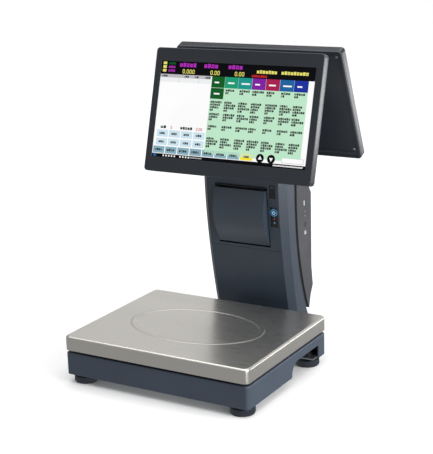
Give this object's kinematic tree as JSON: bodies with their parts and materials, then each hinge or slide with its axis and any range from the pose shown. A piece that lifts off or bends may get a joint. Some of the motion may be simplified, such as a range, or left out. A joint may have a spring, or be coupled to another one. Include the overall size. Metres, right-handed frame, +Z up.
{
  "type": "retail price scale",
  "caption": "Counter-top price scale: stainless weighing platter on a low base, a swept column with a label printer, and large tilting displays back to back on top.",
  "frame": {"origin": "on the counter under the middle of the whole scale's box", "axes": "+X to the operator's right, +Y away from the operator, +Z up"},
  "size_m": [0.398, 0.5348, 0.6042],
  "materials": {
    "base_moulding": "fine moulded texture",
    "steel_plate": "zinc plated sheet",
    "aluminium_casting": "as cast",
    "zinc_plating": "bright zinc",
    "rubber_pad": "matte",
    "brushed_stainless": "brushed across the width",
    "black_plastic": "moulded",
    "column_moulding": "satin moulded",
    "dark_trim": "matte",
    "textured_grey": "coarse spark-eroded texture",
    "door_moulding": "satin moulded",
    "thermal_paper": "smooth paper",
    "paper_board": "spiral-wound board",
    "print_head_metal": "milled",
    "ring_light": "clear light guide, lit",
    "lens_red": "clear lens, lit",
    "board_green": "solder mask",
    "power_case": "plated case with air inside",
    "port_metal": "tin plated",
    "display_moulding": "satin moulded",
    "screen_glass": "polished",
    "lcd_metal": "panel stack"
  },
  "bodies": {
    "base": {"base_housing": "base_moulding", "chassis_plate": "steel_plate", "load_cell": "aluminium_casting", "load_cell_mount": "steel_plate", "overload_stops": "zinc_plating", "foot_nuts": "zinc_plating", "chassis_screws": "zinc_plating", "rear_arm": "base_moulding", "column_frame": "steel_plate", "column_shell": "column_moulding", "column_trim": "dark_trim", "rear_housing": "textured_grey", "printer_panel": "column_moulding", "printer_bucket": "black_plastic", "paper_spindle": "zinc_plating", "print_head": "print_head_metal", "tear_bar": "print_head_metal", "door_pin": "zinc_plating", "control_bezel": "black_plastic", "button_ring": "ring_light", "status_lenses": "lens_red", "main_board": "board_green", "power_supply": "power_case", "port_block": "port_metal", "power_inlet": "black_plastic", "head_housing": "column_moulding", "tilt_brackets": "steel_plate", "tilt_pins": "zinc_plating"},
    "weighing_spider": {"cell_spacer": "steel_plate", "spider": "aluminium_casting", "spider_pads": "rubber_pad"},
    "platter_cover": {"platter": "brushed_stainless"},
    "left_front_foot": {"foot_front_left": "black_plastic", "pad_front_left": "rubber_pad"},
    "right_front_foot": {"foot_front_right": "black_plastic", "pad_front_right": "rubber_pad"},
    "left_rear_foot": {"foot_rear_left": "black_plastic", "pad_rear_left": "rubber_pad"},
    "right_rear_foot": {"foot_rear_right": "black_plastic", "pad_rear_right": "rubber_pad"},
    "left_arm_foot": {"foot_arm_left": "black_plastic", "pad_arm_left": "rubber_pad"},
    "right_arm_foot": {"foot_arm_right": "black_plastic", "pad_arm_right": "rubber_pad"},
    "door": {"printer_door": "door_moulding"},
    "platen": {"platen_roller": "rubber_pad"},
    "paper": {"paper_roll": "thermal_paper", "paper_core": "paper_board"},
    "latch": {"release_latch": "black_plastic"},
    "button": {"power_button": "black_plastic"},
    "front_display": {"front_bezel": "display_moulding", "front_glass": "screen_glass", "front_lcd": "lcd_metal", "front_back_cover": "display_moulding", "front_hinge_leaf": "steel_plate"},
    "rear_display": {"rear_bezel": "display_moulding", "rear_glass": "screen_glass", "rear_lcd": "lcd_metal", "rear_back_cover": "display_moulding", "rear_hinge_leaf": "steel_plate"}
  },
  "joints": [
    {"name": "weigh_deflection", "type": "slide", "parent": "base", "child": "weighing_spider", "axis": [0, 0, -1], "range_m": [0, 0.0008], "stiffness_N_per_m": 250000, "deforming": ["load_cell"]},
    {"name": "platter_lift_off", "type": "slide", "parent": "weighing_spider", "child": "platter_cover", "axis": [0, 0, 1], "range_m": [0, 0.05]},
    {"name": "left_front_foot_turn", "type": "hinge", "parent": "base", "child": "left_front_foot", "pos_m": [-0.1715, -0.23737, 0.01], "axis": [0, 0, 1], "continuous": true},
    {"name": "right_front_foot_turn", "type": "hinge", "parent": "base", "child": "right_front_foot", "pos_m": [0.1715, -0.23737, 0.01], "axis": [0, 0, 1], "continuous": true},
    {"name": "left_rear_foot_turn", "type": "hinge", "parent": "base", "child": "left_rear_foot", "pos_m": [-0.1715, 0.02363, 0.01], "axis": [0, 0, 1], "continuous": true},
    {"name": "right_rear_foot_turn", "type": "hinge", "parent": "base", "child": "right_rear_foot", "pos_m": [0.1715, 0.02363, 0.01], "axis": [0, 0, 1], "continuous": true},
    {"name": "left_arm_foot_turn", "type": "hinge", "parent": "base", "child": "left_arm_foot", "pos_m": [-0.046, 0.19313, 0.01], "axis": [0, 0, 1], "continuous": true},
    {"name": "right_arm_foot_turn", "type": "hinge", "parent": "base", "child": "right_arm_foot", "pos_m": [0.046, 0.19313, 0.01], "axis": [0, 0, 1], "continuous": true},
    {"name": "printer_door_swing", "type": "hinge", "parent": "base", "child": "door", "pos_m": [-0.003, 0.09763, 0.2115], "axis": [1, 0, 0], "range_deg": [0, 75]},
    {"name": "platen_spin", "type": "hinge", "parent": "door", "child": "platen", "pos_m": [-0.004, 0.09413, 0.312], "axis": [1, 0, 0], "continuous": true},
    {"name": "paper_roll_spin", "type": "hinge", "parent": "base", "child": "paper", "pos_m": [-0.004, 0.12213, 0.252], "axis": [1, 0, 0], "continuous": true},
    {"name": "latch_press", "type": "slide", "parent": "base", "child": "latch", "axis": [0, 1, 0], "range_m": [0, 0.003], "stiffness_N_per_m": 500},
    {"name": "power_button_press", "type": "slide", "parent": "base", "child": "button", "axis": [0, 1, 0], "range_m": [0, 0.0015], "stiffness_N_per_m": 800},
    {"name": "front_display_tilt", "type": "hinge", "parent": "base", "child": "front_display", "pos_m": [0, 0.08817, 0.46521], "axis": [1, 0, 0], "range_deg": [-10, 10]},
    {"name": "rear_display_tilt", "type": "hinge", "parent": "base", "child": "rear_display", "pos_m": [0, 0.17694, 0.46757], "axis": [1, 0, 0], "range_deg": [-10, 10]}
  ],
  "couplings": [
    {"joint": "platen_spin", "follows": "paper_roll_spin", "ratio": 4.8333}
  ]
}
